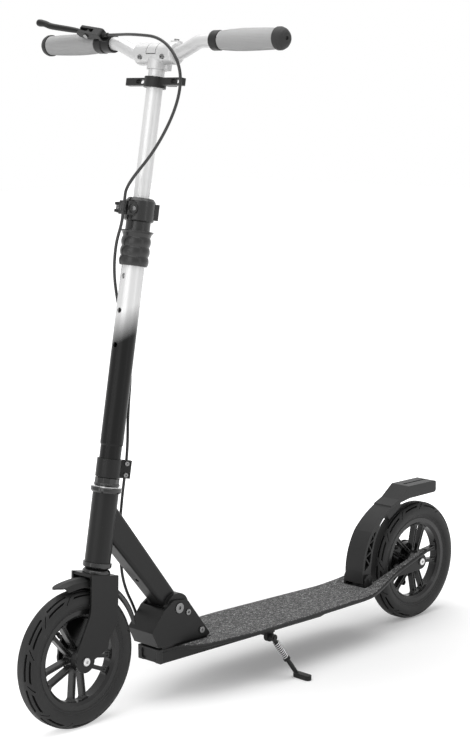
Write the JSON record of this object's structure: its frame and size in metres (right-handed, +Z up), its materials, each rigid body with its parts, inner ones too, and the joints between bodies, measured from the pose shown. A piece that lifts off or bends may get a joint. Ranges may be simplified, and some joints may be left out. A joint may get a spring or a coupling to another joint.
{
  "type": "kick scooter",
  "caption": "Folding kick scooter with large air tyres, sliding T-bar, hand and foot brake, curved deck with grip tape and kickstand.",
  "frame": {"origin": "on the ground, at the middle of the bounding box", "axes": "+X forward, +Y to the rider's left, +Z up"},
  "size_m": [1.0914, 0.566, 1.1498],
  "materials": {
    "satin_black": "satin powder coat",
    "black_steel": "satin powder coat",
    "black_zinc": "black zinc",
    "silver_alloy": "satin anodised",
    "fade_paint": "silver fading to satin black",
    "steel": "bright zinc",
    "gloss_black": "gloss black",
    "black_plastic": "matte",
    "black_rubber": "matte",
    "soft_rubber": "matte",
    "grip_grey": "matte, ribbed",
    "grip_tape": "coarse grit",
    "cable_black": "satin"
  },
  "bodies": {
    "deck": {"deck_plate": "satin_black", "grip_tape": "grip_tape", "deck_beam": "satin_black", "front_cap": "black_plastic", "fold_block": "satin_black", "block_bolts": "black_zinc", "dropouts": "satin_black", "rear_axle": "steel", "rear_axle_spacers": "steel", "brake_plate": "black_steel", "guard_bracket": "black_steel", "stand_bracket": "black_steel", "cable_clips": "black_plastic", "brake_cable_deck": "cable_black"},
    "front_frame": {"head_frame": "satin_black", "headset_cups": "gloss_black", "headset_bearings": "steel", "brake_cable_lower": "cable_black"},
    "steering": {"fork": "satin_black", "crown_race": "gloss_black", "locknut": "gloss_black", "column": "fade_paint", "column_sleeve": "soft_rubber", "column_bush": "black_plastic", "clamp_collar": "satin_black", "clamp_skewer": "black_zinc", "clamp_ring": "satin_black", "ring_bolts": "black_zinc", "front_mudguard": "black_plastic", "front_axle": "steel", "front_axle_spacers": "steel", "brake_cable_upper": "cable_black"},
    "tbar": {"upper_tube": "silver_alloy", "stem": "silver_alloy", "stem_bolts": "black_zinc", "handlebar": "silver_alloy", "left_grip": "grip_grey", "right_grip": "grip_grey", "grip_collars": "black_plastic", "bar_plugs": "black_plastic", "strap_collar": "black_plastic", "lever_bracket": "satin_black", "lever_bolts": "black_zinc", "barrel_adjuster": "steel"},
    "brake_lever": {"brake_blade": "satin_black"},
    "height_button": {"height_button": "steel"},
    "clamp_lever": {"clamp_lever": "satin_black"},
    "fold_button": {"fold_button": "black_zinc"},
    "front_wheel": {"front_tyre": "black_rubber", "front_inner_tube": "soft_rubber", "front_rim": "black_plastic", "front_bearings": "steel"},
    "rear_wheel": {"rear_tyre": "black_rubber", "rear_inner_tube": "soft_rubber", "rear_rim": "black_plastic", "rear_bearings": "steel"},
    "foot_brake": {"rear_mudguard": "black_plastic"},
    "kickstand": {"stand_leg": "black_steel", "stand_spring": "steel"},
    "brake_arm": {"brake_arm": "black_steel"}
  },
  "joints": [
    {"name": "fold", "type": "hinge", "parent": "deck", "child": "front_frame", "pos_m": [0.224, 0, 0.162], "axis": [0, -1, 0], "range_deg": [0, 79], "deforming": ["brake_cable_lower"]},
    {"name": "steer", "type": "hinge", "parent": "front_frame", "child": "steering", "pos_m": [0.43004, 0, 0], "axis": [-0.1857, 0, 0.9826], "range_deg": [-45, 45], "deforming": ["brake_cable_lower"]},
    {"name": "front_spin", "type": "hinge", "parent": "steering", "child": "front_wheel", "pos_m": [0.4307, 0, 0.115], "axis": [0, 1, 0], "continuous": true},
    {"name": "height", "type": "slide", "parent": "steering", "child": "tbar", "axis": [-0.1857, 0, 0.9826], "range_m": [-0.112, 0], "deforming": ["brake_cable_upper"]},
    {"name": "button_press", "type": "slide", "parent": "tbar", "child": "height_button", "axis": [0.9826, 0, 0.1857], "range_m": [-0.004, 0], "stiffness_N_per_m": 600},
    {"name": "brake_lever", "type": "hinge", "parent": "tbar", "child": "brake_lever", "pos_m": [0.24395, -0.15, 1.12063], "axis": [0.7157, 0, -0.6984], "range_deg": [0, 9], "stiffness_Nm_per_rad": 0.6, "springref_deg": -20.05},
    {"name": "clamp_lever", "type": "hinge", "parent": "steering", "child": "clamp_lever", "pos_m": [0.3009, -0.02, 0.83962], "axis": [-0.1857, 0, 0.9826], "range_deg": [0, 115]},
    {"name": "fold_release", "type": "slide", "parent": "deck", "child": "fold_button", "axis": [0, 1, 0], "range_m": [-0.004, 0], "stiffness_N_per_m": 600},
    {"name": "rear_spin", "type": "hinge", "parent": "deck", "child": "rear_wheel", "pos_m": [-0.4307, 0, 0.115], "axis": [0, 1, 0], "continuous": true},
    {"name": "foot_brake", "type": "hinge", "parent": "deck", "child": "foot_brake", "pos_m": [-0.273, 0, 0.109], "axis": [0, -1, 0], "range_deg": [0, 2.4], "stiffness_Nm_per_rad": 4, "springref_deg": -20.05},
    {"name": "kickstand", "type": "hinge", "parent": "deck", "child": "kickstand", "pos_m": [0.041, 0.073, 0.078], "axis": [0, 1, 0], "range_deg": [0, 58]},
    {"name": "brake_arm", "type": "hinge", "parent": "deck", "child": "brake_arm", "pos_m": [-0.438, 0, 0.092], "axis": [0, -1, 0], "range_deg": [0, 12], "deforming": ["brake_cable_deck"]}
  ],
  "couplings": [
    {"joint": "brake_arm", "follows": "brake_lever", "ratio": 1.3333}
  ]
}
